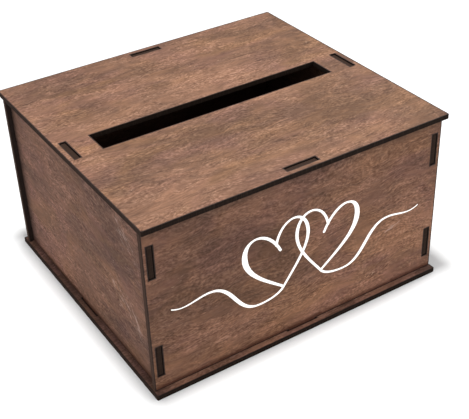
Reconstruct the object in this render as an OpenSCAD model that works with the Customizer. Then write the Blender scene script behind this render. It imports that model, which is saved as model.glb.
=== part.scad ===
// Wedding card box. Six laser-cut plywood panels slot together with tabs and mortises, and the
// lid lifts straight off four of those tabs. A white ornament of two linked hearts lies on the
// front panel.
// Frame: millimetres, +Z up, origin at the middle of the underside of the base. +X runs to the
// right along the front, and the front panel faces -Y.

/* [Overall] */
// Length of the lid and the base, left to right
box_len = 292.1; // [262:0.1:420]
// Depth of the lid and the base, front to back
box_dep = 266.7; // [140:0.1:400]
// Height from the underside of the base to the top of the lid
box_h = 165.1; // [120:0.1:260]
// Thickness of the plywood
ply = 4.4; // [3:0.1:8]
// Radius of the corners of the lid and the base, seen from above
corner_r = 1; // [0.5:0.5:6]

/* [Walls] */
// How far the lid and the base stand out past the faces of the front and back panels
face_reveal = 6.1; // [1.5:0.1:15]
// How far the lid and the base stand out past the ends of the front and back panels
end_reveal = 1.55; // [0.5:0.05:8]
// How far the front and back panels run on past the side panels
wall_ear = 4.5; // [2:0.1:15]

/* [Tabs and mortises] */
// Length of every tab
tab_len = 29; // [12:1:50]
// Play between a tab and its mortise, on each side
tab_play = 0.5; // [0.1:0.05:0.8]
// How far the tabs in the lid stop below its top
lid_tab_recess = 1; // [0.2:0.1:2]
// How far the tabs in the base stop above its underside
base_tab_recess = 0.5; // [0.2:0.1:2]
// How far the side panels' tabs stop behind the faces of the front and back panels
side_tab_recess = 0.5; // [0.2:0.1:2]
// Height of the lower side tab above the foot of the walls
tab_foot = 14.7; // [5:0.1:25]
// Distance from the upper side tab to the head of the walls
tab_head = 15.7; // [5:0.1:25]

/* [Card slot] */
// Length of the slot in the lid
slot_len = 228.6; // [60:0.1:245]
// Width of the slot in the lid
slot_w = 26; // [8:0.1:60]

/* [Ornament] */
// Thickness of the white film
film_t = 0.25; // [0.1:0.05:1]
// Width of the film's level strokes
stroke_thin = 1.7; // [1:0.1:3]
// Width of its upright strokes
stroke_thick = 5.2; // [3:0.1:7]
// Width of each heart
heart_w = 62; // [54:1:70]
// Height of each heart
heart_h = 62; // [45:1:70]
// Distance between the tips of the two hearts
heart_apart = 38; // [32:1:44]
// Radius that the cutter's blade leaves in the film's inner corners
blade_r = 0.3; // [0.1:0.1:1]
// Outward lean of each heart, in degrees
heart_lean = 8; // [0:1:15]
// Distance from the middle of the ornament to the end of each swash
swash_reach = 124; // [105:1:126]
// Height of the crest of each swash above the hearts' tips
swash_rise = 26; // [10:1:40]
// Height of the hearts' tips below the middle of the front panel
tip_drop = 28; // [15:1:35]

/* [Hidden] */
$fn = 48;

// Heights of the walls' feet and heads
foot_z = ply;
head_z = box_h - ply;

// Front and back panels: outer face, inner face and half length
face_y = box_dep / 2 - face_reveal;
inner_y = face_y - ply;
panel_half = box_len / 2 - end_reveal;

// Side panels: outer face
side_x = panel_half - wall_ear;

// Middle planes of the walls, where their tabs and mortises lie
mid_y = face_y - ply / 2;
mid_x = side_x - ply / 2;

// Tabs stand out this far from the walls, and their mortises are this wide and long
lid_tab = ply - lid_tab_recess;
base_tab = ply - base_tab_recess;
side_tab = ply - side_tab_recess;
mortise_w = ply + 2 * tab_play;
mortise_len = tab_len + 2 * tab_play;

// Lower ends of the two side tabs, one above the other
side_tab_z = [foot_z + tab_foot, head_z - tab_head - tab_len];

// A cut runs on this far past both faces of the panel
over = 1;

wood_top = "#9C7561";
wood_front = "#7C5C4D";
wood_side = "#755A4E";
film_white = "#F6F4F0";

// ---- plywood ----

// Flat plate with round corners, lying on z
module plate(z) {
    translate([0, 0, z])
        linear_extrude(ply) {
            square([box_len - 2 * corner_r, box_dep], center = true);
            square([box_len, box_dep - 2 * corner_r], center = true);
            for (sx = [-1, 1], sy = [-1, 1])
                translate([sx * (box_len / 2 - corner_r), sy * (box_dep / 2 - corner_r)])
                    circle(corner_r);
        }
}

// Box between two opposite corners
module block(low, high) {
    translate(low)
        cube(high - low);
}

// The four mortises that the walls' upper or lower tabs enter, through the plate that lies on z
module wall_mortises(z) {
    for (s = [-1, 1]) {
        translate([0, s * mid_y, z + ply / 2])
            cube([mortise_len, mortise_w, ply + 2 * over], center = true);
        translate([s * mid_x, 0, z + ply / 2])
            cube([mortise_w, mortise_len, ply + 2 * over], center = true);
    }
}

module base_panel() {
    color(wood_side)
        difference() {
            plate(0);
            wall_mortises(0);
        }
}

module lid_panel() {
    color(wood_top)
        difference() {
            plate(head_z);
            wall_mortises(head_z);
            translate([0, 0, head_z + ply / 2])
                cube([slot_len, slot_w, ply + 2 * over], center = true);
        }
}

// Front or back panel, with its outer face at side * face_y: one tab up, one tab down, and two
// mortises at each end for the side panels' tabs
module long_panel(side) {
    low_y = min(side * face_y, side * inner_y);
    high_y = low_y + ply;
    difference() {
        union() {
            block([-panel_half, low_y, foot_z], [panel_half, high_y, head_z]);
            block([-tab_len / 2, low_y, foot_z - base_tab],
                [tab_len / 2, high_y, head_z + lid_tab]);
        }
        for (sx = [-1, 1], z = side_tab_z)
            block([sx * mid_x - mortise_w / 2, low_y - over, z - tab_play],
                [sx * mid_x + mortise_w / 2, high_y + over, z + tab_len + tab_play]);
    }
}

// Left or right panel, standing between the long panels: one tab up, one tab down, and two tabs
// forward and back
module short_panel(side) {
    low_x = side * mid_x - ply / 2;
    high_x = low_x + ply;
    block([low_x, -inner_y, foot_z], [high_x, inner_y, head_z]);
    block([low_x, -tab_len / 2, foot_z - base_tab], [high_x, tab_len / 2, head_z + lid_tab]);
    for (z = side_tab_z)
        block([low_x, -inner_y - side_tab, z], [high_x, inner_y + side_tab, z + tab_len]);
}

module front_panel() {
    color(wood_front)
        long_panel(-1);
}

module back_panel() {
    color(wood_front)
        long_panel(1);
}

module left_panel() {
    color(wood_side)
        short_panel(-1);
}

module right_panel() {
    color(wood_side)
        short_panel(1);
}

// ---- ornament ----
// Two linked hearts and a swash on each side, cut from one film. Each stroke is a chain of cubic
// curves in [x, z], drawn with a pen that presses on upright strokes and lifts on level ones.

// Steps along each curve, and facets of the round ends
curve_steps = 18;
end_facets = 24;

// The pen's press, from 0 to 1, on the hearts' outer sides, on their inner sides, at tips and
// ends, and along the swashes
outer_press = 1;
inner_press = 0.4;
end_press = 0.2;
swash_press = 0.6;

// How fast the pen lifts as a stroke turns from upright to level
press_power = 1.6;

// How far and which way the flanks leave a heart's tip, before the heart leans
tip_pull = [0.21 * heart_w, 0.22 * heart_h];

// Height of a heart's widest points, and of the two sides' ends in its cleft
widest_z = 0.73 * heart_h;
cleft_low = 0.62 * heart_h;
cleft_high = 0.73 * heart_h;

// The swash's lowest point, counted from the heart's tip, and the way from its crest to its end
dip_step = [24, -8];
crest_step = 34;
end_drop = 1;

// How far the swash's curves are pulled along level ground at the dip, at the crest and at the
// end, where the film turns up again, and the share of its width that is left there
dip_pull = [9, 0];
crest_pull = [12, 0];
end_pull = [12, 6];
end_share = 0.4;

// Point on a cubic curve with the control points c, at t from 0 to 1
function curve_point(c, t) =
    pow(1 - t, 3) * c[0] + 3 * pow(1 - t, 2) * t * c[1] + 3 * (1 - t) * t * t * c[2]
    + pow(t, 3) * c[3];

// Direction of that curve at t, as a unit vector
function curve_dir(c, t) =
    let (d = pow(1 - t, 2) * (c[1] - c[0]) + 2 * (1 - t) * t * (c[2] - c[1])
        + t * t * (c[3] - c[2]))
    d / norm(d);

// Width of the pen's mark in direction d
function pen_width(d, press) =
    stroke_thin + press * (stroke_thick - stroke_thin) * pow(abs(d[1]), press_power);

// Width of the mark along the curve c at t. The press goes evenly from press[0] to press[1],
// and the far end is thinned to the share that tail names.
function mark_width(c, press, tail, t) =
    pen_width(curve_dir(c, t), press[0] + (press[1] - press[0]) * t) * (1 + (tail - 1) * t);

// One edge of the mark, to the left of the curve for side = 1 and to its right for side = -1
function mark_edge(c, press, tail, side) = [
    for (i = [0 : curve_steps])
        let (t = i / curve_steps, d = curve_dir(c, t))
        curve_point(c, t) + side * mark_width(c, press, tail, t) / 2 * [-d[1], d[0]]
];

function reversed(list) = [for (i = [len(list) - 1 : -1 : 0]) list[i]];

// The mark along one curve, with round ends
module mark(c, press, tail = 1) {
    polygon(concat(mark_edge(c, press, tail, 1), reversed(mark_edge(c, press, tail, -1))));
    for (t = [0, 1])
        translate(curve_point(c, t))
            circle(d = mark_width(c, press, tail, t), $fn = end_facets);
}

// One side of a heart whose tip is at the origin: the flank, from the tip up to the widest
// point, then the shoulder, from there over to the side's end in the cleft
module heart_side(side, press, cleft) {
    widest = [side * heart_w / 2, widest_z];
    mark([[0, 0], [side * tip_pull[0], tip_pull[1]], [widest[0], 0.63 * widest_z], widest],
        [end_press, press]);
    mark([widest, [widest[0], 1.48 * widest_z], [0.24 * widest[0], 1.53 * widest_z], cleft],
        [press, end_press]);
}

// Right-hand heart: the outer side runs past the cleft, and the inner side stops on it
module heart() {
    rotate(-heart_lean) {
        heart_side(1, outer_press, [-0.04 * heart_w, cleft_low]);
        heart_side(-1, inner_press, [0.01 * heart_w, cleft_high]);
    }
}

// Swash that runs on from the inner flank through the right-hand heart's tip, dips, rises to a
// crest and runs out to the right
module swash() {
    tip = [heart_apart / 2, 0];
    run_on = [tip_pull[0] * cos(heart_lean) - tip_pull[1] * sin(heart_lean),
        -tip_pull[0] * sin(heart_lean) - tip_pull[1] * cos(heart_lean)];
    dip = tip + dip_step;
    crest = [swash_reach - crest_step, swash_rise];
    end = [swash_reach, swash_rise - end_drop];
    rise_pull = [(crest[0] - dip[0]) / 2, 0];
    mark([tip, tip + 0.4 * run_on, dip - dip_pull, dip], [end_press, swash_press]);
    mark([dip, dip + rise_pull, crest - rise_pull, crest], [swash_press, swash_press]);
    mark([crest, crest + crest_pull, end - end_pull, end], [swash_press, swash_press],
        end_share);
}

module half_ornament() {
    translate([heart_apart / 2, 0])
        heart();
    swash();
}

module front_ornament() {
    color(film_white)
        translate([0, -face_y, (foot_z + head_z) / 2 - tip_drop])
            rotate([90, 0, 0])
                linear_extrude(film_t)
                    offset(r = -blade_r, $fn = end_facets)
                        offset(delta = blade_r) {
                            half_ornament();
                            mirror([1, 0])
                                half_ornament();
                        }
}

base_panel();
front_panel();
back_panel();
left_panel();
right_panel();
lid_panel();
front_ornament();
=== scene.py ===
# %% [markdown]
# # A slot-together card box in stained plywood
# The box is six plywood panels, cut out by a laser and stained walnut brown, and one white film
# on the front. The panels slot together by their tabs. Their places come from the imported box, so
# each panel that is modelled here lies exactly where the solid one lies, and it moves with it.

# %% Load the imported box
import math

import bmesh
import bpy
from mathutils import Matrix, Vector


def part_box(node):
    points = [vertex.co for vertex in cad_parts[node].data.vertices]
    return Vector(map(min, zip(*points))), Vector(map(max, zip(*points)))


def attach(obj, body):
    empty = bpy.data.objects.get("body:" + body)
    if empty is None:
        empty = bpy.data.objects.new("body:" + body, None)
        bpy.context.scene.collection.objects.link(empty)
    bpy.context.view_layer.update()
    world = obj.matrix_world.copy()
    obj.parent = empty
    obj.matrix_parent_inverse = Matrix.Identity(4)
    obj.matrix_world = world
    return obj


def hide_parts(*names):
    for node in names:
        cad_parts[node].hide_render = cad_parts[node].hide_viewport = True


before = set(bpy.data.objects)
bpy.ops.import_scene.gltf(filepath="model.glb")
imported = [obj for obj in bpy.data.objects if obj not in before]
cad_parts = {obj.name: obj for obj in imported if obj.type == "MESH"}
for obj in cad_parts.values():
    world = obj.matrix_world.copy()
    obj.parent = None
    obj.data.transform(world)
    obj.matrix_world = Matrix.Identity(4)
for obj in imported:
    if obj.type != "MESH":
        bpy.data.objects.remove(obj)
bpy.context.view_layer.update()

# %% [markdown]
# ## Sizes
# A node's box tells how thick a panel is and where it starts and ends. What a box can't tell,
# such as how long a tab is and where it sits on a wall, is a named length in millimetres. A tab
# has play all round, so its mortise is a little longer and wider.

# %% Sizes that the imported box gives
MM = 0.001

lid_low, lid_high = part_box("lid_panel")
base_low, base_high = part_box("base_panel")
front_low, front_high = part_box("front_panel")
side_low, side_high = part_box("left_panel")

PLY = lid_high.z - lid_low.z
WALL_FOOT = base_high.z
WALL_HEAD = lid_low.z
FRONT_INNER = -front_high.y
SIDE_INNER = -side_high.x
SIDE_OUTER = -side_low.x
print("ply, mm:", round(PLY / MM, 2), "walls from", round(WALL_FOOT / MM, 1), "to",
      round(WALL_HEAD / MM, 1))

# %% Sizes of the joints and cuts
TAB_LEN = 29 * MM
TAB_PLAY = 0.5 * MM
TAB_FOOT = 14.7 * MM
TAB_HEAD = 15.7 * MM
SLOT_LEN = 228.6 * MM
SLOT_WIDTH = 26 * MM
CORNER_RADIUS = 1 * MM

MORTISE_LEN = TAB_LEN + 2 * TAB_PLAY
MORTISE_WIDTH = PLY + 2 * TAB_PLAY
print("mortise, mm:", round(MORTISE_LEN / MM, 1), "x", round(MORTISE_WIDTH / MM, 1))

# %% [markdown]
# ## The camera
# The box is seen from above its front left corner, through a moderately long lens, with the
# camera turned a little about its own axis. The lens has no shift, so the box stays in the
# middle of the frame from every other side too. Places are in millimetres from the middle of
# the box's foot.

# %% Camera
CAMERA_PLACE = Vector((-394.9, -662.1, 575.4)) * MM
CAMERA_AIM = Vector((-10.4, -41.1, 80.0)) * MM
CAMERA_ROLL = math.radians(-2.19)
LENS = 77.4
SENSOR_WIDTH = 36

camera = bpy.data.objects.new("camera", bpy.data.cameras.new("camera"))
bpy.context.scene.collection.objects.link(camera)
camera.data.lens = LENS
camera.data.sensor_width = SENSOR_WIDTH
camera.location = CAMERA_PLACE
look = (CAMERA_AIM - CAMERA_PLACE).to_track_quat("-Z", "Y")
camera.rotation_mode = "QUATERNION"
camera.rotation_quaternion = look @ Matrix.Rotation(CAMERA_ROLL, 3, "Z").to_quaternion()
bpy.context.scene.camera = camera
print("camera stands", round((CAMERA_AIM - CAMERA_PLACE).length, 3), "m away")

# %% [markdown]
# ## Cutting a panel
# A laser cuts a panel out of a flat sheet, so the panel is modelled flat as well. The sheet is
# one face. Marking lines divide it along every straight cut, and the waste between them is
# deleted. A boolean could cut the mortises too, but this way leaves clean square ones whose
# edges an inset and a bevel can follow.

# %% Mark out a sheet and delete the waste
def holds(rectangle, point):
    """True if the point lies inside (x0, y0, x1, y1)."""
    x0, y0, x1, y1 = rectangle
    return x0 < point.x < x1 and y0 < point.y < y1


def cut_sheet(solids, windows, marks=()):
    """A flat mesh that covers the rectangles in solids, less those in windows. It is divided
    at the marks too, which are places along x."""
    xs = sorted({x for r in solids + windows for x in (r[0], r[2])} | set(marks))
    ys = sorted({y for r in solids + windows for y in (r[1], r[3])})
    sheet = bmesh.new()
    bmesh.ops.create_grid(sheet, x_segments=1, y_segments=1, size=0.5)
    size = Matrix.Diagonal((xs[-1] - xs[0], ys[-1] - ys[0], 1, 1))
    middle = Matrix.Translation(((xs[0] + xs[-1]) / 2, (ys[0] + ys[-1]) / 2, 0))
    bmesh.ops.transform(sheet, matrix=middle @ size, verts=sheet.verts)
    lines = [((x, 0, 0), (1, 0, 0)) for x in xs[1:-1]] + [((0, y, 0), (0, 1, 0)) for y in ys[1:-1]]
    for point, across in lines:
        whole = sheet.verts[:] + sheet.edges[:] + sheet.faces[:]
        bmesh.ops.bisect_plane(sheet, geom=whole, plane_co=point, plane_no=across)
    centres = {f: f.calc_center_median() for f in sheet.faces}
    waste = [f for f, c in centres.items()
             if not any(holds(r, c) for r in solids) or any(holds(r, c) for r in windows)]
    bmesh.ops.delete(sheet, geom=waste, context="FACES")
    return sheet


# %% [markdown]
# ## From a flat sheet to a board
# The beam scorches a narrow rim along each cut, so an inset runs round the outline and round
# each mortise. The sheet is then extruded to its thickness, and its sharp edges are eased by a
# fifth of a millimetre, because even a cut edge catches some light where it turns. The two
# plates have round corners as well, made by a bevel of the flat sheet's corner vertices.

# %% Thicken a sheet and ease its edges
RIM = 1.5 * MM
EASE = 0.2 * MM
CORNER_STEPS = 4
EASE_STEPS = 2
SHARP = math.radians(60)
LEVEL = 0.999
FACE, CUT = 0, 1


def flat_on_bench(face):
    """True for an outer or inner face of the board, and False for a cut or an eased edge."""
    return abs(face.normal.z) > LEVEL


def thicken(sheet, corner=0.0):
    """Turns the sheet into a board of one ply thickness, lying on z = 0."""
    if corner:
        ends = [v for v in sheet.verts if len(v.link_edges) == 2
                and abs(v.co.x) > lid_high.x - EASE and abs(v.co.y) > lid_high.y - EASE]
        bmesh.ops.bevel(sheet, geom=ends, offset=corner, offset_type="OFFSET",
                        segments=CORNER_STEPS, profile=0.5, affect="VERTICES", material=-1)
    bmesh.ops.inset_region(sheet, faces=sheet.faces[:], thickness=RIM, depth=0,
                           use_boundary=True, use_even_offset=True)
    upper = bmesh.ops.extrude_face_region(sheet, geom=sheet.faces[:], use_keep_orig=True)
    raised = [g for g in upper["geom"] if isinstance(g, bmesh.types.BMVert)]
    bmesh.ops.translate(sheet, verts=raised, vec=(0, 0, PLY))
    bmesh.ops.recalc_face_normals(sheet, faces=sheet.faces[:])
    for face in sheet.faces:
        face.material_index = FACE if flat_on_bench(face) else CUT
    sharp = [e for e in sheet.edges if e.calc_face_angle(0) > SHARP]
    bmesh.ops.bevel(sheet, geom=sharp, offset=EASE, offset_type="OFFSET",
                    segments=EASE_STEPS, profile=0.5, affect="EDGES", material=-1)


# %% [markdown]
# Three attributes go with the board wherever it stands later. `bench` is the place that a
# vertex has on the bench, so the grain keeps its direction. The scorch attribute falls from 1 on
# a cut to 0 on the inset, for the scorched rim. It is 1 all over the inner face of the ears, the
# ends of a long wall that stick out past the side walls, which took the smoke of the joints and
# also carry painted shade for the nook beside the side wall. The ash attribute is how much grey
# ash lies on a cut face. It lies on the board's two ends, which cross the grain. On top of the
# upper tab it is a painted highlight, for the light from above. Everywhere else the cut keeps
# its soot.

# %% Record the bench, the scorch and its painted shade, and the ash and its painted highlight
# The top of the upper tab is lightened as a painted highlight, for the light from above.
TOP_TAB_HIGHLIGHT = 0.45
UPWARD = 0.5


def record_marks(board, ear_from, end_ash):
    """Gives the board its three attributes. An ear begins at ear_from along the bench's x, and
    end_ash is the ash on the board's two ends."""
    bench = board.verts.layers.float_vector.new("bench")
    scorch_and_shade = board.verts.layers.float.new("scorch_and_shade")
    ash_and_highlight = board.faces.layers.float.new("ash_and_highlight")
    reach = max(v.co.x for v in board.verts)
    for vert in board.verts:
        vert[bench] = vert.co
        inside = all(flat_on_bench(f) for f in vert.link_faces)
        # An ear's inner face is smoked, and painted dark as the shade in the nook beside the side
        # wall.
        smoked = abs(vert.co.x) > ear_from - EASE and vert.co.z < PLY / 2
        vert[scorch_and_shade] = 0.0 if inside and not smoked else 1.0
    for face in board.faces:
        middle = face.calc_center_median()
        if abs(middle.x) > reach - EASE:
            face[ash_and_highlight] = end_ash
        elif middle.y > WALL_HEAD and face.normal.y > UPWARD:
            # Painted highlight on top of the upper tab.
            face[ash_and_highlight] = TOP_TAB_HIGHLIGHT


# %% Make an object of a finished board
def finish_board(name, board, place, materials, node, body, ear_from=math.inf, end_ash=1.0):
    """Moves the board to its place, makes it an object and lets it stand for the CAD node."""
    record_marks(board, ear_from, end_ash)
    bmesh.ops.transform(board, matrix=place, verts=board.verts)
    mesh = bpy.data.meshes.new(name)
    board.to_mesh(mesh)
    board.free()
    for material in materials:
        mesh.materials.append(material)
    piece = bpy.data.objects.new(name, mesh)
    bpy.context.scene.collection.objects.link(piece)
    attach(piece, body)
    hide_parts(node)
    print(name, len(mesh.polygons), "faces")


# %% [markdown]
# ## Colours and nodes
# Paint colours are written as sRGB hex values, and shaders work in linear light, so one
# function converts them. Another adds a shader node with its settings and its links.

# %% Helpers for materials
def colour(hex_value):
    """Linear RGBA of an sRGB hex colour such as "896453"."""
    channels = [int(hex_value[i:i + 2], 16) / 255 for i in (0, 2, 4)]
    linear = [c / 12.92 if c <= 0.04045 else ((c + 0.055) / 1.055) ** 2.4 for c in channels]
    return (*linear, 1.0)


def add(tree, kind, inputs=None, stops=None, **settings):
    """Adds a node. inputs are socket values or the outputs linked to them, and stops are the
    (place, colour) pairs of a colour ramp."""
    made = tree.nodes.new(kind)
    for name, value in settings.items():
        setattr(made, name, value)
    for socket, value in (inputs or {}).items():
        if isinstance(value, bpy.types.NodeSocket):
            tree.links.new(value, made.inputs[socket])
        else:
            made.inputs[socket].default_value = value
    if stops:
        ramp = made.color_ramp.elements
        while len(ramp) < len(stops):
            ramp.new(0.5)
        for element, (place, tint) in zip(ramp, stops):
            element.position = place
            element.color = tint
    return made


def new_material(name):
    """An empty material with a Principled shader on its output."""
    material = bpy.data.materials.new(name)
    material.use_nodes = True
    tree = material.node_tree
    tree.nodes.clear()
    shader = add(tree, "ShaderNodeBsdfPrincipled")
    add(tree, "ShaderNodeOutputMaterial", {"Surface": shader.outputs["BSDF"]})
    return material, tree, shader


# %% [markdown]
# ## Stained veneer
# The faces are basswood plywood: a pale, soft veneer, peeled from the log, stained walnut brown
# with an oil stain and rubbed dry. Its colour is built up in the order in which it comes about:
# the tint of the sheet, the wood that drinks more or less stain, the fibres that hold it, the
# growth lines, the rubbing, and last the marks of use and laser, together with painted light and
# shade. An image of wood could be laid over the boards, but noise gives each sheet a grain of its
# own that stays sharp at any size.
#
# Each layer is a noise, stretched along the grain to the length and width in millimetres of
# what it stands for. The seed moves the noise by a step of its own along each axis, and each
# layer adds a number to it, so that no two layers have the same blots.

# %% Noise along the grain
SEED_STEPS = (1, 2.7, 5.1)
NOISE_ROUGHNESS = 0.55


def grain_noise(tree, place, blot, seed, detail=2, distortion=0.3, output="Fac"):
    """Noise whose blots are about (length, width) millimetres, with the length along x."""
    length, width = blot
    stretched = add(tree, "ShaderNodeMapping", {
        "Vector": place,
        "Location": [seed * step for step in SEED_STEPS],
        "Scale": (1 / (length * MM), 1 / (width * MM), 1 / (width * MM)),
    })
    noise = add(tree, "ShaderNodeTexNoise", {
        "Vector": stretched.outputs["Vector"], "Scale": 1.0, "Detail": detail,
        "Roughness": NOISE_ROUGHNESS, "Distortion": distortion,
    })
    return noise.outputs[output]


# %% Layers of colour and sums of noise
def over(tree, below, layer, noise, reach, most=1.0):
    """Lays a colour over the one below. Its share grows from nothing to most while the noise
    goes from the first value of reach to the second."""
    share = add(tree, "ShaderNodeMapRange", {
        "Value": noise, "From Min": reach[0], "From Max": reach[1],
        "To Min": 0.0, "To Max": most})
    mixed = add(tree, "ShaderNodeMix", {
        "Factor": share.outputs["Result"], "A": below, "B": layer}, data_type="RGBA")
    return mixed.outputs["Result"]


def weighted_sum(tree, *parts):
    """The sum of (value, weight) pairs, each value times its weight."""
    total = 0.0
    for value, weight in parts:
        total = add(tree, "ShaderNodeMath", {0: value, 1: weight, 2: total},
                    operation="MULTIPLY_ADD").outputs["Value"]
    return total


# %% [markdown]
# Veneer is peeled round a trunk that is never quite straight, so its grain wanders. Most layers
# are drawn at places that drift by up to about a centimetre from where they are on the bench.

# %% Wandering grain
DRIFT_BLOT = (90, 55)
DRIFT = 26 * MM


def wandering_grain(tree, bench, seed):
    """Places on the bench, moved by a broad and smooth noise."""
    drift = grain_noise(tree, bench, DRIFT_BLOT, seed, detail=3, distortion=0, output="Color")
    moved = add(tree, "ShaderNodeVectorMath", {0: drift, 1: (DRIFT, DRIFT, 0), 2: bench},
                operation="MULTIPLY_ADD")
    return moved.outputs["Vector"]


# %% [markdown]
# Each sheet took the stain a little differently, so each has a brown of its own. Within a sheet
# the hue hardly changes: some patches are a touch rosier and some a touch more golden.

# %% Tint of a sheet
WALNUT = colour("896453")
GOLDEN_WALNUT = colour("896753")
LIGHT_WALNUT = colour("926B57")
# The base's paler brown is painted light: it stands in for the light that its ledges miss.
BASE_WALNUT_WITH_PAINTED_LIGHT = colour("A87F70")
CLEAR = colour("FFFFFF")
ROSY_TINT = colour("F8F4FF")
GOLDEN_TINT = colour("FFFEF0")
ROSY_BLOT = (75, 45)
ROSY_REACH = (0.45, 0.62)
GOLDEN_BLOT = (90, 45)
GOLDEN_REACH = (0.48, 0.64)


def sheet_tint(tree, bench, sheet, hue_seed):
    """The sheet's own brown, with rosy and golden patches."""
    rosy = grain_noise(tree, bench, ROSY_BLOT, hue_seed, distortion=0.8)
    golden = grain_noise(tree, bench, GOLDEN_BLOT, hue_seed + 1, distortion=0.8)
    patches = over(tree, CLEAR, ROSY_TINT, rosy, ROSY_REACH)
    patches = over(tree, patches, GOLDEN_TINT, golden, GOLDEN_REACH)
    tinted = add(tree, "ShaderNodeMix", {"Factor": 1.0, "A": patches, "B": sheet},
                 data_type="RGBA", blend_type="MULTIPLY")
    return tinted.outputs["Result"]


# %% [markdown]
# Loose wood drinks more stain than dense wood and turns darker. The zones are as large as a
# hand, and the clouds in them as a thumb. A peeled cut slides through the growth layers as it
# goes, which leaves faint steps, so one smooth noise is cut up into layers. The weights tell how
# much each of the three has to say.

# %% Dense and thirsty wood
THIRSTY_WOOD = colour("B8B7B7")
ZONE_BLOT = (110, 60)
CLOUD_BLOT = (30, 11)
LAYER_BLOT = (130, 32)
GROWTH_LAYERS = 14
ZONE_WEIGHT = 0.62
CLOUD_WEIGHT = 0.50
STEP_WEIGHT = 0.05
THIRSTY_UP_TO = 0.45
DENSE_FROM = 0.72


def thirst(tree, bench, wandering, seed):
    """The share of light that the wood returns once it is stained, clear where it is dense."""
    zones = grain_noise(tree, bench, ZONE_BLOT, seed, distortion=0.8)
    clouds = grain_noise(tree, wandering, CLOUD_BLOT, seed + 1, detail=4, distortion=1.5)
    slope = grain_noise(tree, wandering, LAYER_BLOT, seed + 2, detail=1, distortion=0.6)
    layers = add(tree, "ShaderNodeMath", {0: slope, 1: GROWTH_LAYERS}, operation="MULTIPLY")
    steps = add(tree, "ShaderNodeMath", {0: layers.outputs["Value"]}, operation="FRACT")
    density = weighted_sum(tree, (zones, ZONE_WEIGHT), (clouds, CLOUD_WEIGHT),
                           (steps.outputs["Value"], STEP_WEIGHT))
    returned = add(tree, "ShaderNodeValToRGB", {"Fac": density},
                   stops=[(THIRSTY_UP_TO, THIRSTY_WOOD), (DENSE_FROM, CLEAR)])
    return returned.outputs["Color"]


# %% [markdown]
# The fibres hold the stain in short streaks, with specks of bare wood between them. Real fibres
# are a tenth of a millimetre thick, too fine to show, so they are drawn about two millimetres
# wide. Where the rag went over the face more often, the stain is even, and those calm places
# give the eye a rest from the streaks.

# %% Streaks of stain
EVEN_STAIN = colour("CBC3BB")
DEEP_STAIN = colour("978A7E")
STAIN_DEPTHS = [(0.30, DEEP_STAIN), (0.46, EVEN_STAIN), (0.61, CLEAR)]
FIBRE_BLOT = (10, 2.4)
FIBRE_WEIGHT = 0.45
SPECK_BLOT = (3.0, 1.5)
SPECK_WEIGHT = 0.47
STREAKY_BLOT = (45, 22)
STREAKY_REACH = (0.32, 0.54)


def fibre_streaks(tree, wandering, seed):
    """The stain that the fibres hold. Returns its colour, the noise that it comes from, which
    is low where the stain is deep, and the two that make it up: the fibres and the specks."""
    fibres = grain_noise(tree, wandering, FIBRE_BLOT, seed + 3, detail=3, distortion=0.8)
    specks = grain_noise(tree, wandering, SPECK_BLOT, seed + 5, detail=1)
    thinness = weighted_sum(tree, (fibres, FIBRE_WEIGHT), (specks, SPECK_WEIGHT))
    stain = add(tree, "ShaderNodeValToRGB", {"Fac": thinness}, stops=STAIN_DEPTHS)
    streaky = grain_noise(tree, wandering, STREAKY_BLOT, seed + 12, distortion=1.0)
    streaks = over(tree, EVEN_STAIN, stain.outputs["Color"], streaky, STREAKY_REACH)
    return streaks, thinness, fibres, specks


# %% [markdown]
# Thin dark growth lines run along the grain in places, and in others a rag took a little of the
# stain off again. Both are a fine noise multiplied by a broad one, which says where they occur.

# %% Growth lines and rubbed nicks
GROWTH_LINE = colour("3E281B")
RUBBED = colour("A98C76")
LINE_BLOT = (30, 1.5)
LINED_BLOT = (60, 18)
LINE_REACH = (0.31, 0.42)
LINE_SHARE = 0.5
NICK_BLOT = (4, 1.4)
NICKED_BLOT = (35, 22)
NICK_REACH = (0.47, 0.56)
NICK_SHARE = 0.5


def lines_and_nicks(tree, bench, wandering, wood, seed):
    """Lays the growth lines and then the nicks over the wood."""
    growth = grain_noise(tree, wandering, LINE_BLOT, seed + 13, detail=1, distortion=0.6)
    lined = grain_noise(tree, bench, LINED_BLOT, seed + 15)
    lines = add(tree, "ShaderNodeMath", {0: growth, 1: lined}, operation="MULTIPLY")
    wood = over(tree, wood, GROWTH_LINE, lines.outputs["Value"], LINE_REACH, LINE_SHARE)
    nicks = grain_noise(tree, bench, NICK_BLOT, seed + 17, detail=1)
    nicked = grain_noise(tree, bench, NICKED_BLOT, seed + 19)
    rubbing = add(tree, "ShaderNodeMath", {0: nicks, 1: nicked}, operation="MULTIPLY")
    return over(tree, wood, RUBBED, rubbing.outputs["Value"], NICK_REACH, NICK_SHARE)


# %% The stained wood alone
def stained_wood(tree, bench, sheet, seed, hue_seed):
    """All the layers of wood and stain. Returns the colour and the three noises that the shine
    and the relief need."""
    wandering = wandering_grain(tree, bench, seed + 11)
    wood = sheet_tint(tree, bench, sheet, hue_seed)
    density = thirst(tree, bench, wandering, seed)
    streaks, thinness, fibres, specks = fibre_streaks(tree, wandering, seed)
    for stain in (density, streaks):
        wood = add(tree, "ShaderNodeMix", {"Factor": 1.0, "A": wood, "B": stain},
                   data_type="RGBA", blend_type="MULTIPLY").outputs["Result"]
    wood = lines_and_nicks(tree, bench, wandering, wood, seed)
    return wood, thinness, fibres, specks


# %% [markdown]
# A box that is handled gets scuffs: groups of pale scratches that slant across the grain. A
# scuff is an oval on the board. A Mapping node of the texture type moves and turns the bench to
# its middle. The distance from there is 1 on the rim of the oval, and the scratches, which weigh
# more, fade with it.

# %% Scuffs
SCUFFED = colour("A48E85")
SCRATCH_BLOT = (9, 1.6)
SCRATCH_WEIGHT = -8
SCUFF_REACH = (-3.6, -5.2)
SCUFF_SHARE = 0.6


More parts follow.
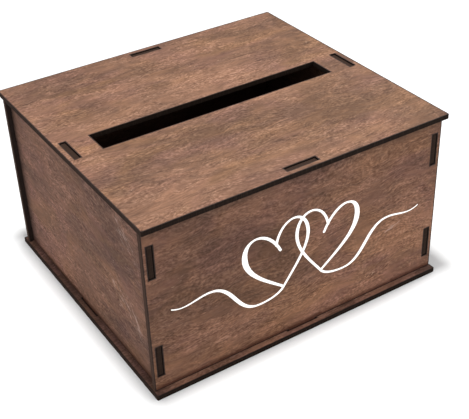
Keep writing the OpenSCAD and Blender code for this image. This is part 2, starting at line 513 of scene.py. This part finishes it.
def scuffed(tree, bench, tone, x, y, length, height, slant):
    """Lays a scuff over the tone, at x, y on the outer face. It is so many millimetres long and
    high, and its scratches slant by so many degrees."""
    turned = add(tree, "ShaderNodeMapping", {
        "Vector": bench, "Location": (x * MM, y * MM, PLY),
        "Rotation": (0, 0, math.radians(slant))}, vector_type="TEXTURE").outputs["Vector"]
    spread = add(tree, "ShaderNodeVectorMath", {
        0: turned, 1: (2 / (length * MM), 2 / (height * MM), 1 / PLY)}, operation="MULTIPLY")
    away = add(tree, "ShaderNodeVectorMath", {0: spread.outputs["Vector"]}, operation="LENGTH")
    scratches = grain_noise(tree, turned, SCRATCH_BLOT, x, distortion=0.4)
    worn = weighted_sum(tree, (away.outputs["Value"], 1), (scratches, SCRATCH_WEIGHT))
    return over(tree, tone, SCUFFED, worn, SCUFF_REACH, SCUFF_SHARE)


# %% [markdown]
# Stain, smoke, the laser and painted shade mark known places on a board, so these layers follow
# the bench's axes. The long walls are painted darker at their upper left and along their head,
# the head for the shadow of the lid's overhang: both are painted shade. The face that lies down
# on the bench is painted dark as well, as painted shade for the inside of the box. Stain pooled
# along the foot of every wall. The side walls' ends are browned by smoke and by painted shade for
# the corners, and the base's ends beyond the side walls by painted shade alone. The beam scorched
# a narrow rim along each cut. Small blots keep the foot line and the rim ragged.

# %% Painted shade and pooled stain
# This dark brown is painted shade: at the upper left and along the head of the long walls, and on
# the face that lies on the bench.
SHADE_BROWN = colour("24160E")
POOLED = colour("341404")
SHADE_SLANT = -0.35
UPPER_LEFT_SHADE_REACH = (0, 180 * MM)
INNER_SHADE_REACH = (PLY / 2, 0)
INNER_SHADE_SHARE = 0.7
FOOT_LINE = 4 * MM
FOOT_REACH = (WALL_FOOT + 2 * FOOT_LINE, WALL_FOOT + FOOT_LINE)
FOOT_SHARE = 0.85
HEAD_SHADE_REACH = (WALL_HEAD - 12 * MM, WALL_HEAD)


def brushed(tree, axes, tone, share):
    """Lays painted shade over the tone: this share of it at the upper left, and none at the lower
    right."""
    run = weighted_sum(tree, (axes.outputs["Y"], 1), (axes.outputs["X"], SHADE_SLANT))
    return over(tree, tone, SHADE_BROWN, run, UPPER_LEFT_SHADE_REACH, share)


def pooled(tree, axes, blots, tone):
    """Lays the stain that has pooled along the foot of a wall over the tone."""
    foot = weighted_sum(tree, (axes.outputs["Y"], 1), (blots, FOOT_LINE))
    return over(tree, tone, POOLED, foot, FOOT_REACH, FOOT_SHARE)


# %% Marks of the laser, and painted shade at the ends
# This near-black brown is the laser's scorch, and painted shade at board ends and on the ears.
SCORCH_AND_SHADE_BROWN = colour("1C0F09")
SMOKE_AND_SHADE_REACH = 14 * MM
RIM_REACH = (0.45, 0.95)
RIM_BLOT_WEIGHT = 0.6


def smoked(tree, axes, tone, smoked_from, share):
    """Lays dark brown over the tone, this share of it past the given place along the bench's x.
    It is painted shade, and on the side walls' ends smoke as well.
    """
    along = add(tree, "ShaderNodeMath", {0: axes.outputs["X"]}, operation="ABSOLUTE")
    return over(tree, tone, SCORCH_AND_SHADE_BROWN, along.outputs["Value"],
                (smoked_from - SMOKE_AND_SHADE_REACH, smoked_from), share)


def scorched_and_shaded(tree, blots, tone):
    """Lays the ragged dark rim along a cut over the tone, and the ears' smoke and painted shade.
    """
    scorch_and_shade = add(tree, "ShaderNodeAttribute", attribute_name="scorch_and_shade").outputs["Fac"]
    ragged = weighted_sum(tree, (scorch_and_shade, 1), (blots, RIM_BLOT_WEIGHT))
    return over(tree, tone, SCORCH_AND_SHADE_BROWN, ragged, RIM_REACH)


# %% All the marks in their order
MARGIN_BLOT = (7, 3)


def marked(tree, bench, tone, seed, wall=False, brush=0.0, head=0.0, smoke=0.0,
           smoked_from=math.inf, scuffs=()):
    """Lays the marks over the tone, with painted shade on the face that lies on the bench. A wall
    has a stained foot. The next three are shares of painted shade: at the upper left, along the
    head, and past the given place along x, where the side walls' ends are smoked as well."""
    axes = add(tree, "ShaderNodeSeparateXYZ", {"Vector": bench})
    blots = grain_noise(tree, bench, MARGIN_BLOT, seed + 21)
    for scuff in scuffs:
        tone = scuffed(tree, bench, tone, *scuff)
    # Painted shade, darker towards the upper left.
    if brush:
        tone = brushed(tree, axes, tone, brush)
    # Painted shade: the face that lies on the bench is darkened for the inside of the box.
    tone = over(tree, tone, SHADE_BROWN, axes.outputs["Z"], INNER_SHADE_REACH, INNER_SHADE_SHARE)
    if smoke:
        tone = smoked(tree, axes, tone, smoked_from, smoke)
    if wall:
        tone = pooled(tree, axes, blots, tone)
    # Painted shade along the head, standing in for the shadow of the lid's overhang.
    if head:
        tone = over(tree, tone, SHADE_BROWN, axes.outputs["Y"], HEAD_SHADE_REACH, head)
    return scorched_and_shaded(tree, blots, tone)


# %% [markdown]
# A rubbed stain leaves no film, so the face is matt. Wood has an IOR of 1.5, but the specular
# level is less than half the usual one, and the roughness is near 0.8, lower where the stain is
# thin. The fibres and specks stand up a tenth of a millimetre, which catches light from the
# side.

# %% The whole veneer
WOOD_IOR = 1.5
VENEER_SPECULAR = 0.22
STAINED_ROUGHNESS = 0.88
BARE_ROUGHNESS = 0.72
SHINE_REACH = (0.32, 0.6)
VENEER_RELIEF = 0.12 * MM
RELIEF_STRENGTH = 0.3
FIBRE_RELIEF = 0.8


def veneer(name, sheet, seed, hue_seed, **marks):
    """Stained veneer. sheet is its brown, and marks are the arguments that marked takes."""
    material, tree, shader = new_material(name)
    bench = add(tree, "ShaderNodeAttribute", attribute_name="bench").outputs["Vector"]
    wood, thinness, fibres, specks = stained_wood(tree, bench, sheet, seed, hue_seed)
    tone = marked(tree, bench, wood, seed, **marks)
    shine = add(tree, "ShaderNodeMapRange", {
        "Value": thinness, "From Min": SHINE_REACH[0], "From Max": SHINE_REACH[1],
        "To Min": STAINED_ROUGHNESS, "To Max": BARE_ROUGHNESS})
    relief = weighted_sum(tree, (specks, 1), (fibres, FIBRE_RELIEF))
    bump = add(tree, "ShaderNodeBump", {
        "Strength": RELIEF_STRENGTH, "Distance": VENEER_RELIEF, "Height": relief})
    for socket, value in (("Base Color", tone), ("Roughness", shine.outputs["Result"]),
                          ("Normal", bump.outputs["Normal"])):
        tree.links.new(value, shader.inputs[socket])
    shader.inputs["IOR"].default_value = WOOD_IOR
    shader.inputs["Specular IOR Level"].default_value = VENEER_SPECULAR
    print(name, len(tree.nodes), "nodes")
    return material


# %% [markdown]
# ## Laser-cut edges
# The beam chars the wood that it passes. A cut along the grain is nearly black. One across it is
# a dull grey brown, because the open ends of the fibres hold ash, and the ash attribute tells how
# much. On top of the upper tabs the same attribute lays this grey brown as a painted highlight,
# for the light from above. The plies still show as bands through the thickness, with black glue
# lines between them. The bands could be modelled as layers, but they are only colours on a flat
# cut, so a colour ramp over the bench's z paints them.

# %% Charred plies and their ash
CHARRED_RIM = colour("0B0604")
CHARRED_PLY = colour("170E09")
CHARRED_CORE = colour("1C110A")
GLUE_LINE = colour("090503")
PLY_BANDS = [(0.00, CHARRED_RIM), (0.28, CHARRED_PLY), (0.38, GLUE_LINE), (0.55, CHARRED_CORE),
             (0.72, GLUE_LINE), (0.82, CHARRED_PLY), (1.00, CHARRED_RIM)]
SOOT_BLOT = (6, 6)
SOOT_WEIGHT = 0.1
# This grey brown is ash on the ends, and a painted highlight on top of the upper tabs.
ASH_AND_HIGHLIGHT = colour("382820")
ASH_AND_HIGHLIGHT_REACH = (0, 1)
ASH_AND_HIGHLIGHT_SHARE = 0.85


def charred_plies(tree, bench):
    """The bands of the plies, with soot to blur them, and ash and the painted highlight over them.
    """
    axes = add(tree, "ShaderNodeSeparateXYZ", {"Vector": bench})
    soot = grain_noise(tree, bench, SOOT_BLOT, seed=2, detail=3)
    band = weighted_sum(tree, (axes.outputs["Z"], 1 / PLY), (soot, SOOT_WEIGHT))
    plies = add(tree, "ShaderNodeValToRGB", {"Fac": band}, stops=PLY_BANDS)
    ash_and_highlight = add(tree, "ShaderNodeAttribute", attribute_name="ash_and_highlight").outputs["Fac"]
    return over(tree, plies.outputs["Color"], ASH_AND_HIGHLIGHT, ash_and_highlight, ASH_AND_HIGHLIGHT_REACH, ASH_AND_HIGHLIGHT_SHARE)


# %% [markdown]
# The pulses of the beam leave upright furrows, which show a little ash. They are a tenth of a
# millimetre apart on the real edge, too fine to show, so they are drawn 0.8 mm apart. Charcoal
# is rough and hardly shines.

# %% Charred edge
FURROW_ASH = colour("4A3B32")
FURROW_PITCH = 0.8 * MM
FURROW_LENGTH = 12 * MM
FURROW_REACH = (0.5, 0.75)
FURROW_SHARE = 0.15
FURROW_RELIEF = 0.15 * MM
FURROW_STRENGTH = 0.5
CHAR_ROUGHNESS = 0.9
CHAR_SPECULAR = 0.08


def charred_edge():
    material, tree, shader = new_material("charred_basswood_edge")
    bench = add(tree, "ShaderNodeAttribute", attribute_name="bench").outputs["Vector"]
    upright = add(tree, "ShaderNodeMapping", {
        "Vector": bench, "Scale": (1 / FURROW_PITCH, 1 / FURROW_PITCH, 1 / FURROW_LENGTH)})
    furrows = add(tree, "ShaderNodeTexNoise", {
        "Vector": upright.outputs["Vector"], "Scale": 1.0, "Detail": 2}).outputs["Fac"]
    tone = over(tree, charred_plies(tree, bench), FURROW_ASH, furrows, FURROW_REACH,
                FURROW_SHARE)
    bump = add(tree, "ShaderNodeBump", {
        "Strength": FURROW_STRENGTH, "Distance": FURROW_RELIEF, "Height": furrows})
    tree.links.new(tone, shader.inputs["Base Color"])
    tree.links.new(bump.outputs["Normal"], shader.inputs["Normal"])
    shader.inputs["Roughness"].default_value = CHAR_ROUGHNESS
    shader.inputs["IOR"].default_value = WOOD_IOR
    shader.inputs["Specular IOR Level"].default_value = CHAR_SPECULAR
    print(material.name, len(tree.nodes), "nodes")
    return material


edge_material = charred_edge()

# %% [markdown]
# ## Base and lid
# These two plates share one outline, with round corners and four mortises for the walls' tabs.
# The lid has the card slot as well. Since they are so alike, both are cut from the same
# rectangles.

# %% Mortises in the two plates
MID_Y = FRONT_INNER + PLY / 2
MID_X = SIDE_INNER + PLY / 2


def centred(x, y, width, height):
    """Rectangle (x0, y0, x1, y1) about a middle point."""
    return (x - width / 2, y - height / 2, x + width / 2, y + height / 2)


plate_outline = (lid_low.x, lid_low.y, lid_high.x, lid_high.y)
plate_mortises = [centred(0, s * MID_Y, MORTISE_LEN, MORTISE_WIDTH) for s in (-1, 1)]
plate_mortises += [centred(s * MID_X, 0, MORTISE_WIDTH, MORTISE_LEN) for s in (-1, 1)]
card_slot = centred(0, 0, SLOT_LEN, SLOT_WIDTH)
print(len(plate_mortises), "mortises in each plate")

# %% [markdown]
# The base is painted paler than the walls: painted light, since its ledges get little of the
# lamps' light. Its ends beyond the side walls are painted darker, as painted shade from the walls
# and the lid. The lid's stain is a little more golden. Both plates' ends hold little ash.

# %% Base
PLATE_END_ASH = 0.35
# The base's ends beyond the side walls are darkened: painted shade.
LEDGE_SHADE = 0.55

stain_base = veneer("walnut_stain_base", BASE_WALNUT_WITH_PAINTED_LIGHT, seed=4, hue_seed=4,
                    smoke=LEDGE_SHADE, smoked_from=SIDE_OUTER)
base_sheet = cut_sheet([plate_outline], plate_mortises)
thicken(base_sheet, corner=CORNER_RADIUS)
finish_board("base_board", base_sheet, Matrix.Translation((0, 0, base_low.z)),
             [stain_base, edge_material], "base_panel", "box", end_ash=PLATE_END_ASH)

# %% Lid
stain_lid = veneer("walnut_stain_lid", GOLDEN_WALNUT, seed=1596, hue_seed=261)
lid_sheet = cut_sheet([plate_outline], plate_mortises + [card_slot])
thicken(lid_sheet, corner=CORNER_RADIUS)
finish_board("lid_board", lid_sheet, Matrix.Translation((0, 0, lid_low.z)),
             [stain_lid, edge_material], "lid_panel", "lid", end_ash=PLATE_END_ASH)

# %% [markdown]
# ## Walls
# A wall lies on the bench with its width along x, its height along y and its outer face up. Its
# upper tab goes into the lid, its lower one into the base. The front and back walls have two
# mortises near each end, and the side walls have tabs there. Each one is then tilted up and
# turned to its side of the box, so all four share one way of building. The grain runs along
# the width.

# %% Outlines of the walls
TAB_BOTTOMS = (WALL_FOOT + TAB_FOOT, WALL_HEAD - TAB_HEAD - TAB_LEN)
mid_tab = (-TAB_LEN / 2, front_low.z, TAB_LEN / 2, front_high.z)

long_wall = [(front_low.x, WALL_FOOT, front_high.x, WALL_HEAD), mid_tab]
long_mortises = [centred(s * MID_X, bottom + TAB_LEN / 2, MORTISE_WIDTH, MORTISE_LEN)
                 for s in (-1, 1) for bottom in TAB_BOTTOMS]
short_wall = [(-FRONT_INNER, WALL_FOOT, FRONT_INNER, WALL_HEAD), mid_tab]
short_wall += [(side_low.y, bottom, side_high.y, bottom + TAB_LEN) for bottom in TAB_BOTTOMS]
print("end tabs start, mm:", [round(bottom / MM, 1) for bottom in TAB_BOTTOMS])


def stand_up(inner, turn):
    """Tilts a board up, moves its inner face out to inner, and turns it about the box."""
    tilt = Matrix.Rotation(math.radians(90), 4, "X")
    push = Matrix.Translation((0, -inner, 0))
    return Matrix.Rotation(math.radians(turn), 4, "Z") @ push @ tilt


# %% [markdown]
# The long walls are painted darker at their upper left and along the head: painted shade. The
# side walls' ends, close to the joints, are brown with smoke and with painted shade. Each wall
# has its own seed, because no two sheets have the same grain. A scuff is written as its place
# along x and y on the bench, its length and its height, all in millimetres, and the slant of its
# scratches in degrees.

# %% Front and back walls
UPPER_LEFT_SHADE_SHARE = 0.24
HEAD_SHADE_SHARE = 0.6
FRONT_SCUFFS = ((94, 68, 16, 7, 20),)

for side, turn, seed, hue_seed, scuffs in (
        ("front", 0, 424, 76, FRONT_SCUFFS), ("back", 180, 96, 96.5, ())):
    stain = veneer(f"walnut_stain_{side}", LIGHT_WALNUT, seed, hue_seed, wall=True,
                   brush=UPPER_LEFT_SHADE_SHARE, head=HEAD_SHADE_SHARE, scuffs=scuffs)
    board = cut_sheet(long_wall, long_mortises, marks=(-SIDE_OUTER, SIDE_OUTER))
    thicken(board)
    finish_board(f"{side}_board", board, stand_up(FRONT_INNER, turn), [stain, edge_material],
                 f"{side}_panel", "box", ear_from=SIDE_OUTER)

# %% Left and right walls
TAB_END_ASH = 0.25
# The side walls' ends near the joints are browned by smoke and by painted shade for the corners.
JOINT_SMOKE_AND_SHADE = 0.8
LEFT_SCUFFS = ((73, 64, 34, 18, -35), (97, 50, 34, 12, -50), (90, 134, 34, 16, -35))

for side, turn, seed, hue_seed, scuffs in (
        ("left", -90, 877, 162, LEFT_SCUFFS), ("right", 90, 94, 94.5, ())):
    stain = veneer(f"walnut_stain_{side}", WALNUT, seed, hue_seed, wall=True,
                   smoke=JOINT_SMOKE_AND_SHADE, smoked_from=FRONT_INNER, scuffs=scuffs)
    board = cut_sheet(short_wall, [])
    thicken(board)
    finish_board(f"{side}_board", board, stand_up(SIDE_INNER, turn), [stain, edge_material],
                 f"{side}_panel", "box", end_ash=TAB_END_ASH)

# %% [markdown]
# ## The white film
# The ornament is cut from matt white sign vinyl, whose IOR is about 1.53. It is thin and flat,
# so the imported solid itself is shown, and only its material changes. Pressed on, the film
# follows the wood's fibres faintly, so it gets a fine relief along the grain, much weaker than
# the wood's, and the dips look a trace warmer. The fibres are again drawn wider than they are.

# %% Film
FILM_WHITE = colour("FDFBF8")
FILM_SHADE = colour("F6F2EC")
FILM_IOR = 1.53
FILM_RELIEF = 0.05 * MM
FILM_STRENGTH = 0.2
FILM_ROUGHNESS = 0.5
FIBRE_LENGTH = 14 * MM
FIBRE_WIDTH = 1.1 * MM


def white_film():
    material, tree, shader = new_material("matt_white_vinyl")
    place = add(tree, "ShaderNodeTexCoord")
    along = add(tree, "ShaderNodeMapping", {
        "Vector": place.outputs["Object"],
        "Scale": (1 / FIBRE_LENGTH, 1 / FIBRE_WIDTH, 1 / FIBRE_WIDTH)})
    fibres = add(tree, "ShaderNodeTexNoise", {
        "Vector": along.outputs["Vector"], "Scale": 1.0, "Detail": 3})
    tint = add(tree, "ShaderNodeMix", {
        "Factor": fibres.outputs["Fac"], "A": FILM_WHITE, "B": FILM_SHADE}, data_type="RGBA")
    bump = add(tree, "ShaderNodeBump", {
        "Strength": FILM_STRENGTH, "Distance": FILM_RELIEF, "Height": fibres.outputs["Fac"]})
    tree.links.new(tint.outputs["Result"], shader.inputs["Base Color"])
    tree.links.new(bump.outputs["Normal"], shader.inputs["Normal"])
    shader.inputs["Roughness"].default_value = FILM_ROUGHNESS
    shader.inputs["IOR"].default_value = FILM_IOR
    print(material.name, len(tree.nodes), "nodes")
    return material


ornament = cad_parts["front_ornament"]
ornament.data.materials.clear()
ornament.data.materials.append(white_film())

# %% [markdown]
# ## Floor and light
# A large sheet of paper lies under the box. A studio would curve it up behind the box, but one
# flat face that reaches far enough looks the same from above. Its colour is a light grey, which
# the light is strong enough to turn white, while a shadow still shows on it.

# %% Floor
FLOOR_REACH = 6
PAPER_GREY = colour("C0C0C0")
PAPER_ROUGHNESS = 0.9

floor_mesh = bpy.data.meshes.new("floor")
floor_shape = bmesh.new()
bmesh.ops.create_grid(floor_shape, x_segments=1, y_segments=1, size=FLOOR_REACH)
floor_shape.to_mesh(floor_mesh)
floor_shape.free()
floor = bpy.data.objects.new("floor", floor_mesh)
bpy.context.scene.collection.objects.link(floor)
floor_material, _, floor_shader = new_material("white_paper")
floor_shader.inputs["Base Color"].default_value = PAPER_GREY
floor_shader.inputs["Roughness"].default_value = PAPER_ROUGHNESS
floor_mesh.materials.append(floor_material)
print("floor, m:", 2 * FLOOR_REACH, "wide")

# %% [markdown]
# A white world lights everything evenly. A small panel hangs high above the front left quarter
# of the box. It makes the lid the brightest face and draws a soft shadow a few millimetres wide
# in front of the base and to its left. Three large panels stand low round the box. They light
# the walls, and their light only skims the floor, so that shadow stays. The view transform is
# Standard, which shows a colour as it is written.

# %% World and panels of light
WORLD_STRENGTH = 0.6
OVERHEAD_SIZE = 0.2
FILL_SIZE = 0.9

world = bpy.data.worlds.new("studio")
bpy.context.scene.world = world
world.use_nodes = True
background = world.node_tree.nodes["Background"]
background.inputs["Color"].default_value = (1, 1, 1, 1)
background.inputs["Strength"].default_value = WORLD_STRENGTH


def soft_panel(name, place, aim, size, power):
    """A square panel of light at a place that faces the point aim, in metres and watts."""
    data = bpy.data.lights.new(name, "AREA")
    data.size = size
    data.energy = power
    lamp = bpy.data.objects.new(name, data)
    bpy.context.scene.collection.objects.link(lamp)
    lamp.location = place
    lamp.rotation_mode = "QUATERNION"
    beam = Vector(aim) - Vector(place)
    lamp.rotation_quaternion = beam.to_track_quat("-Z", "Y")
    print(name, "shines from", round(beam.length, 2), "m away")


soft_panel("overhead", place=(-0.10, -0.07, 1.9), aim=(-0.10, -0.07, 0.1),
           size=OVERHEAD_SIZE, power=55)
soft_panel("front_fill", place=(0.89, -1.25, 0.51), aim=(0.08, -0.13, 0.06),
           size=FILL_SIZE, power=15.2)
soft_panel("left_fill", place=(-1.385, -0.47, 0.513), aim=(-0.14, 0, 0.08),
           size=FILL_SIZE, power=11.9)
soft_panel("right_fill", place=(1.35, 0.42, 0.72), aim=(0.1, 0.05, 0.08),
           size=FILL_SIZE, power=12)
bpy.context.scene.view_settings.view_transform = "Standard"
